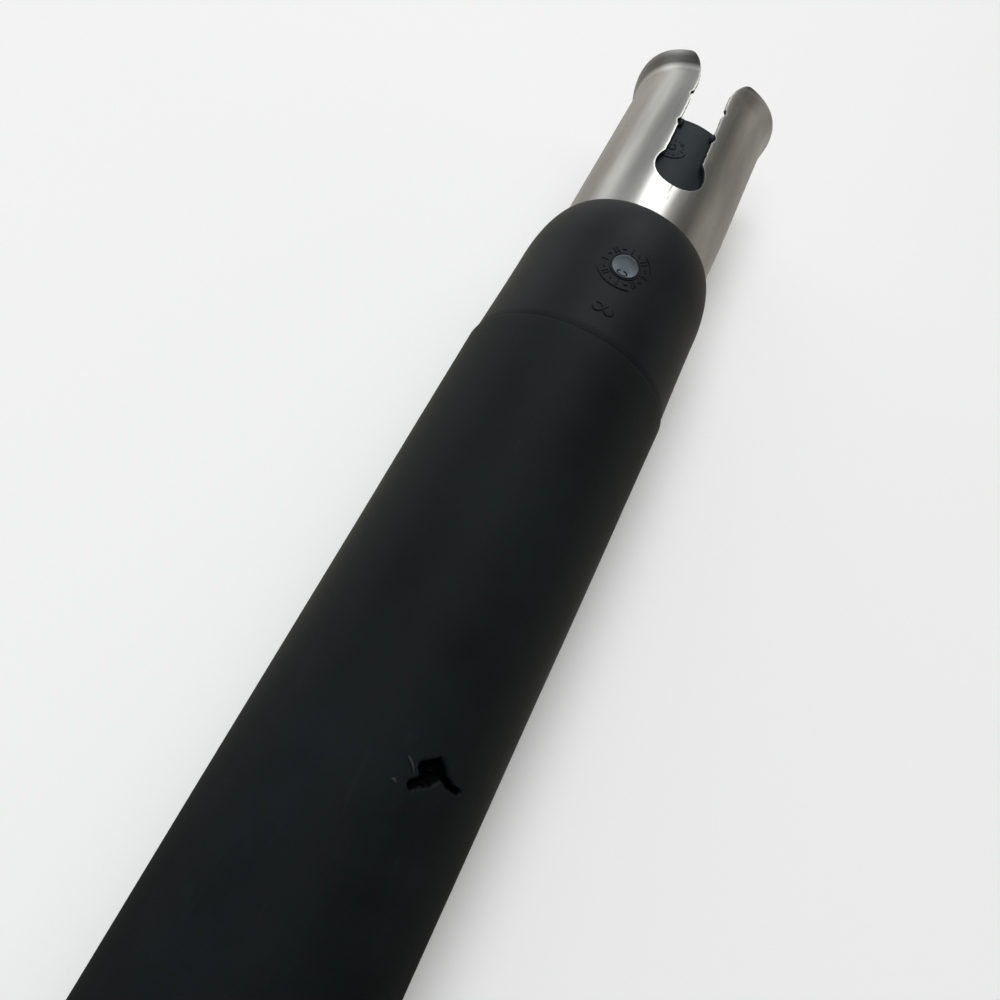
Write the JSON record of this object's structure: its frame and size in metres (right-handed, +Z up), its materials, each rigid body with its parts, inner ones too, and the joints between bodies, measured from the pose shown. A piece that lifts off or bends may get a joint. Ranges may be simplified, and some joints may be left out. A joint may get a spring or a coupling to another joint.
{
  "type": "golf ball retriever",
  "caption": "Telescoping golf ball retriever with a slotted, flared steel jaw tube, a sprung ball seat, a twist-lock collar and a rubber-covered barrel handle.",
  "frame": {"origin": "centre of the golf ball when it sits in the jaws, on the tube's axis", "axes": "+X out of the mouth along the tube, +Z up, through one jaw slot and the collar's round mark; the handle lies level, as on a table"},
  "size_m": [0.616, 0.06, 0.056],
  "materials": {
    "grip_rubber": "matt",
    "collar_black": "fine matt texture",
    "cap_rubber": "matt",
    "seat_black": "fine matt texture",
    "stainless": "brushed",
    "tube_aluminium": "satin",
    "rivet_aluminium": "satin",
    "inner_moulding": "matt",
    "nylon_natural": "satin",
    "spring_steel": "bright drawn",
    "soft_rubber": "matt"
  },
  "bodies": {
    "handle": {"handle_tube": "tube_aluminium", "grip_sleeve": "grip_rubber", "threaded_ferrule": "inner_moulding", "ferrule_rivets": "rivet_aluminium", "collet": "nylon_natural", "collar_retainer": "spring_steel", "rear_plug": "inner_moulding", "plug_rivets": "rivet_aluminium", "buffer_pad": "soft_rubber", "end_cap": "cap_rubber", "cap_screws": "spring_steel"},
    "lock_collar": {"lock_collar": "collar_black", "wiper_ring": "soft_rubber"},
    "extension": {"jaw_tube": "stainless", "joint_sleeve": "tube_aluminium", "joint_rivets": "rivet_aluminium", "extension_tube": "tube_aluminium", "rear_guide": "nylon_natural", "guide_rivets": "rivet_aluminium", "rear_stopper": "inner_moulding", "spring_bulkhead": "inner_moulding", "bulkhead_rivets": "rivet_aluminium"},
    "ball_seat": {"ball_seat": "seat_black", "seat_stem": "spring_steel", "stem_washer": "spring_steel", "stem_clip": "spring_steel", "seat_spring": "spring_steel"}
  },
  "joints": [
    {"name": "tube_slide", "type": "slide", "parent": "handle", "child": "extension", "axis": [1, 0, 0], "range_m": [0, 0.387]},
    {"name": "collar_twist", "type": "hinge", "parent": "handle", "child": "lock_collar", "pos_m": [-0.047, 0, 0], "axis": [1, 0, 0], "range_deg": [0, 75]},
    {"name": "seat_slide", "type": "slide", "parent": "extension", "child": "ball_seat", "axis": [1, 0, 0], "range_m": [-0.014, 0], "stiffness_N_per_m": 600, "springref_m": 0.012, "deforming": ["seat_spring"]}
  ]
}
